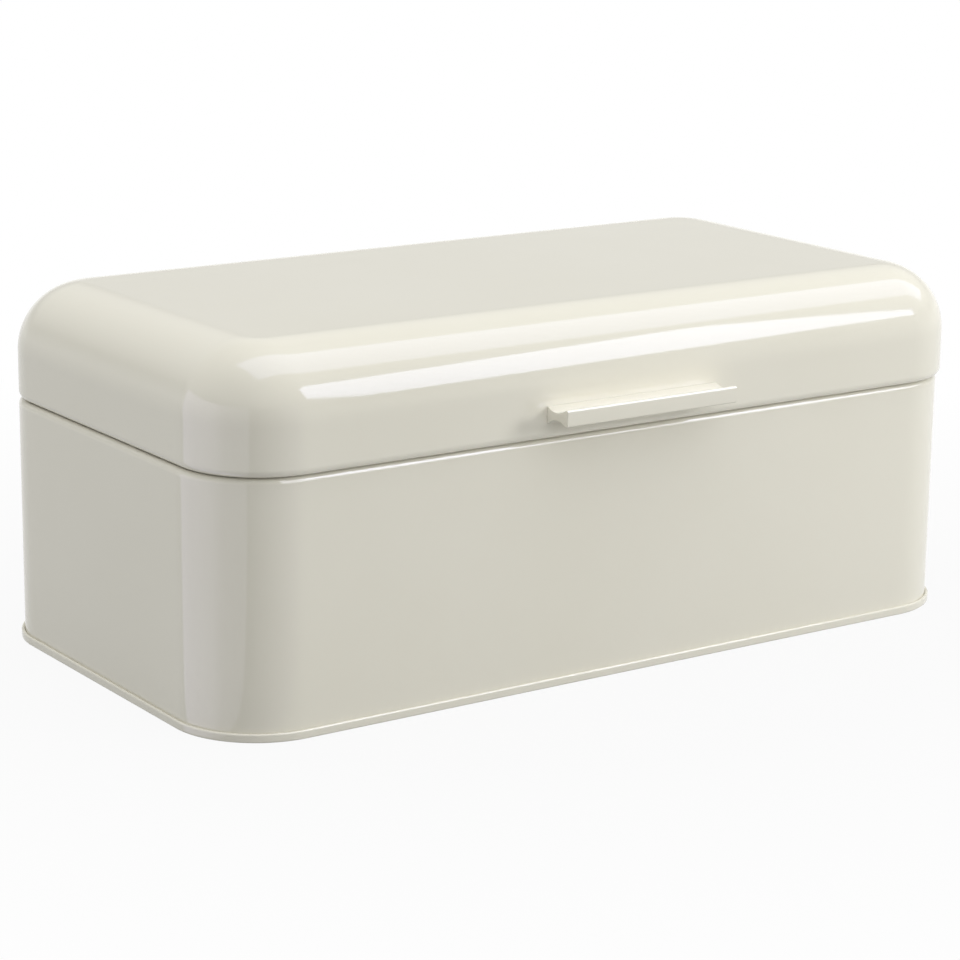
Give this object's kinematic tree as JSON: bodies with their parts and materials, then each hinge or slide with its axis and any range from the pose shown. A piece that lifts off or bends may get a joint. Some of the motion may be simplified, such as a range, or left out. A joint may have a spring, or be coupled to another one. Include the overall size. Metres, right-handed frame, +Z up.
{
  "type": "bread box",
  "caption": "Rounded sheet-steel bread box with a seamed base and a domed lid that lifts on rear hinges by a short front bar handle.",
  "frame": {"origin": "middle of the tub's footprint, on the surface that the base seam stands on", "axes": "+X along the front from left to right, -Y out of the front with the handle, +Z up"},
  "size_m": [0.4232, 0.2478, 0.17],
  "materials": {
    "cream_coat": "glossy cream powder coat",
    "zinc_steel": "bright zinc plate",
    "nylon": "natural nylon",
    "silicone": "milky silicone"
  },
  "bodies": {
    "tub": {"tub_wall": "cream_coat", "base_panel": "cream_coat", "hinge_tub_leaf_left": "cream_coat", "hinge_tub_leaf_right": "cream_coat", "hinge_pin_left": "zinc_steel", "hinge_pin_right": "zinc_steel", "tub_rivets_left": "zinc_steel", "tub_rivets_right": "zinc_steel", "lid_pad_left": "silicone", "lid_pad_right": "silicone"},
    "lid": {"lid_shell": "cream_coat", "handle_bar": "cream_coat", "hinge_lid_leaf_left": "cream_coat", "hinge_lid_leaf_right": "cream_coat", "lid_rivets_left": "zinc_steel", "lid_rivets_right": "zinc_steel", "handle_screw_left": "zinc_steel", "handle_screw_right": "zinc_steel", "handle_washer_left": "nylon", "handle_washer_right": "nylon"}
  },
  "joints": [
    {"name": "lid_hinge", "type": "hinge", "parent": "tub", "child": "lid", "pos_m": [0, 0.11235, 0.116], "axis": [-1, 0, 0], "range_deg": [0, 100]}
  ]
}
